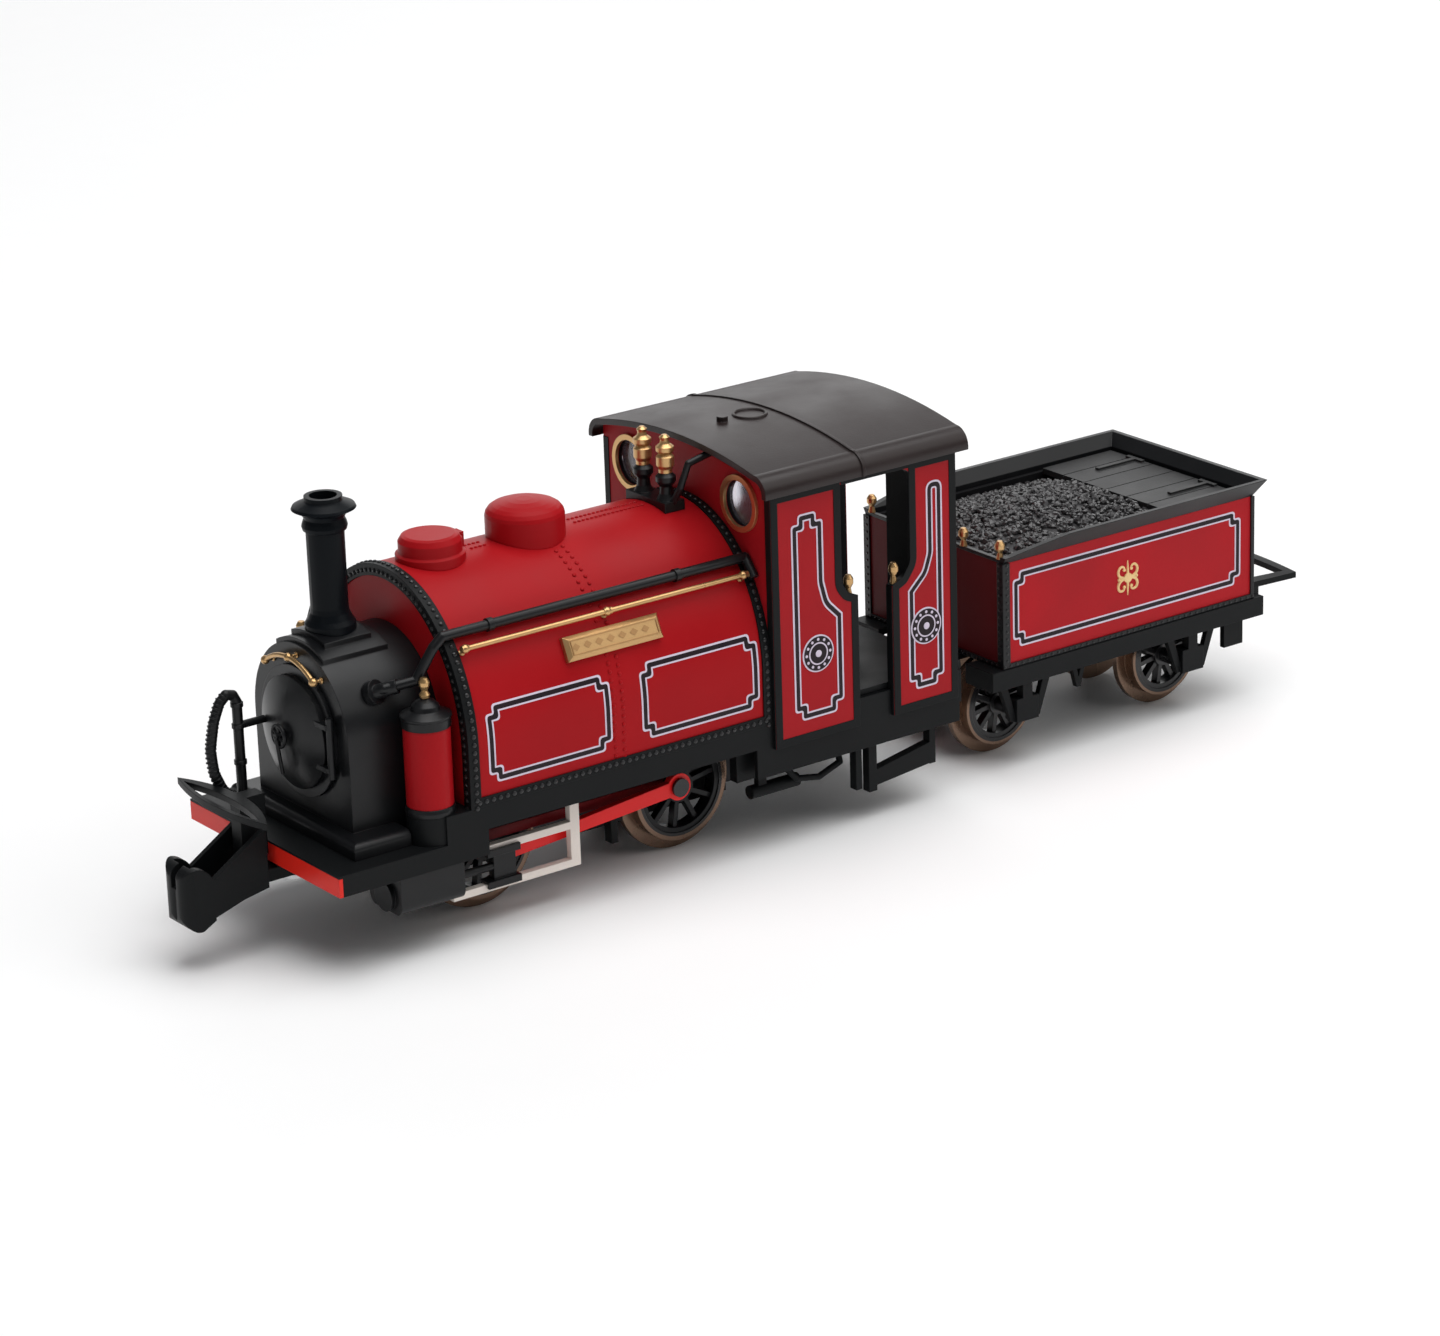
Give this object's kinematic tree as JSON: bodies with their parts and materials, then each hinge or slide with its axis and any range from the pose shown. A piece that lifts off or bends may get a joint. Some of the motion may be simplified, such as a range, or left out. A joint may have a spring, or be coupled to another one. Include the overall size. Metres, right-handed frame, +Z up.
{
  "type": "model steam train",
  "caption": "Narrow gauge model steam train: a saddle tank locomotive with turning wheels and rods, coupled by a drawbar to a small coal tender.",
  "frame": {"origin": "middle of the whole train's box, level with the lowest point of the wheel flanges", "axes": "+X forwards to the front coupler, +Y to the left side, +Z up"},
  "size_m": [0.1066, 0.0236, 0.034],
  "materials": {
    "black_satin": "satin black",
    "crimson": "semi-gloss crimson",
    "bright_red": "bright red",
    "brass": "bright",
    "tyre_bronze": "darkened tread",
    "steel": "bright steel",
    "blackened_metal": "blackened cast metal",
    "off_white": "off white",
    "glass": "clear",
    "coal": "rough black",
    "gear_nylon": "natural nylon",
    "motor_steel": "plated can"
  },
  "bodies": {
    "locomotive": {"chassis_block": "blackened_metal", "keeper_plate": "black_satin", "screws_and_pins": "steel", "motor": "motor_steel", "ballast_weight": "blackened_metal", "footplate": "black_satin", "buffer_beam": "bright_red", "cylinders": "black_satin", "slidebars": "off_white", "smokebox": "black_satin", "smokebox_door": "black_satin", "door_handwheel": "steel", "chimney": "black_satin", "saddle_tank": "crimson", "tank_edge_strips": "black_satin", "tank_filler": "crimson", "dome": "crimson", "ejector_pipes": "black_satin", "nameplates": "brass", "sandboxes": "crimson", "sandbox_caps": "black_satin", "handrails": "brass", "safety_valve_base": "black_satin", "safety_valves": "brass", "cab_roof": "black_satin", "cab_body": "crimson", "spectacle_rims": "brass", "spectacle_glazing": "glass", "cab_interior": "black_satin", "brass_knobs": "brass", "underframe_fittings": "black_satin", "buffer_bow_front": "black_satin", "brake_pipe_front": "black_satin", "coupler_spring": "steel"},
    "rear_drivers": {"rear_driver_tyres": "tyre_bronze", "rear_driver_wheel_centres": "black_satin", "rear_driver_axle": "steel", "axle_gear": "gear_nylon"},
    "front_drivers": {"front_driver_tyres": "tyre_bronze", "front_driver_wheel_centres": "black_satin", "front_driver_axle": "steel"},
    "idler": {"idler_gear": "gear_nylon"},
    "worm_shaft": {"motor_shaft": "steel"},
    "coupling_rod_left": {"coupling_rod_left": "bright_red"},
    "coupling_rod_right": {"coupling_rod_right": "bright_red"},
    "connecting_rod_left": {"connecting_rod_left": "bright_red"},
    "connecting_rod_right": {"connecting_rod_right": "bright_red"},
    "crosshead_left": {"crosshead_left": "black_satin"},
    "crosshead_right": {"crosshead_right": "black_satin"},
    "coupler": {"front_coupler": "black_satin"},
    "drawbar": {"drawbar": "blackened_metal"},
    "tender": {"tender_body": "crimson", "tender_coping": "black_satin", "tender_cover": "black_satin", "coal_load": "coal", "tender_knobs": "brass", "tender_frame": "black_satin", "buffer_bow_rear": "black_satin"},
    "tender_front_wheels": {"tender_front_wheelset": "tyre_bronze"},
    "tender_rear_wheels": {"tender_rear_wheelset": "tyre_bronze"}
  },
  "joints": [
    {"name": "rear_driver_spin", "type": "hinge", "parent": "locomotive", "child": "rear_drivers", "pos_m": [0.0105, 0, 0.00525], "axis": [0, 1, 0], "continuous": true},
    {"name": "front_driver_spin", "type": "hinge", "parent": "locomotive", "child": "front_drivers", "pos_m": [0.0291, 0, 0.00525], "axis": [0, 1, 0], "continuous": true},
    {"name": "idler_spin", "type": "hinge", "parent": "locomotive", "child": "idler", "pos_m": [0.0105, 0, 0.00975], "axis": [0, 1, 0], "continuous": true},
    {"name": "worm_spin", "type": "hinge", "parent": "locomotive", "child": "worm_shaft", "pos_m": [0.0105, 0, 0.01395], "axis": [1, 0, 0], "continuous": true},
    {"name": "coupling_rod_left_turn", "type": "hinge", "parent": "rear_drivers", "child": "coupling_rod_left", "pos_m": [0.01218, 0.0058, 0.00634], "axis": [0, 1, 0], "continuous": true},
    {"name": "coupling_rod_right_turn", "type": "hinge", "parent": "rear_drivers", "child": "coupling_rod_right", "pos_m": [0.00941, -0.0058, 0.00693], "axis": [0, 1, 0], "continuous": true},
    {"name": "connecting_rod_left_turn", "type": "hinge", "parent": "rear_drivers", "child": "connecting_rod_left", "pos_m": [0.01218, 0.00715, 0.00634], "axis": [0, 1, 0], "continuous": true},
    {"name": "connecting_rod_right_turn", "type": "hinge", "parent": "rear_drivers", "child": "connecting_rod_right", "pos_m": [0.00941, -0.00715, 0.00693], "axis": [0, 1, 0], "continuous": true},
    {"name": "crosshead_left_slide", "type": "slide", "parent": "locomotive", "child": "crosshead_left", "axis": [1, 0, 0], "range_m": [-0.0036, 0.0003]},
    {"name": "crosshead_right_slide", "type": "slide", "parent": "locomotive", "child": "crosshead_right", "axis": [1, 0, 0], "range_m": [-0.0009, 0.003]},
    {"name": "coupler_swing", "type": "hinge", "parent": "locomotive", "child": "coupler", "pos_m": [0.0429, 0, 0.006], "axis": [0, 0, 1], "range_deg": [-8, 8]},
    {"name": "drawbar_swing", "type": "hinge", "parent": "locomotive", "child": "drawbar", "pos_m": [-0.0108, 0, 0.0061], "axis": [0, 0, 1], "range_deg": [-8, 8]},
    {"name": "tender_swing", "type": "hinge", "parent": "drawbar", "child": "tender", "pos_m": [-0.0193, 0, 0.0061], "axis": [0, 0, 1], "range_deg": [-12, 12]},
    {"name": "tender_front_spin", "type": "hinge", "parent": "tender", "child": "tender_front_wheels", "pos_m": [-0.022, 0, 0.0044], "axis": [0, 1, 0], "continuous": true},
    {"name": "tender_rear_spin", "type": "hinge", "parent": "tender", "child": "tender_rear_wheels", "pos_m": [-0.04005, 0, 0.0044], "axis": [0, 1, 0], "continuous": true}
  ],
  "couplings": [
    {"joint": "front_driver_spin", "follows": "rear_driver_spin", "ratio": 1},
    {"joint": "idler_spin", "follows": "rear_driver_spin", "ratio": -1.5},
    {"joint": "worm_spin", "follows": "rear_driver_spin", "ratio": 30},
    {"joint": "coupling_rod_left_turn", "follows": "rear_driver_spin", "ratio": -1},
    {"joint": "coupling_rod_right_turn", "follows": "rear_driver_spin", "ratio": -1},
    {"joint": "connecting_rod_left_turn", "follows": "rear_driver_spin", "ratio": -1},
    {"joint": "connecting_rod_right_turn", "follows": "rear_driver_spin", "ratio": -1}
  ]
}
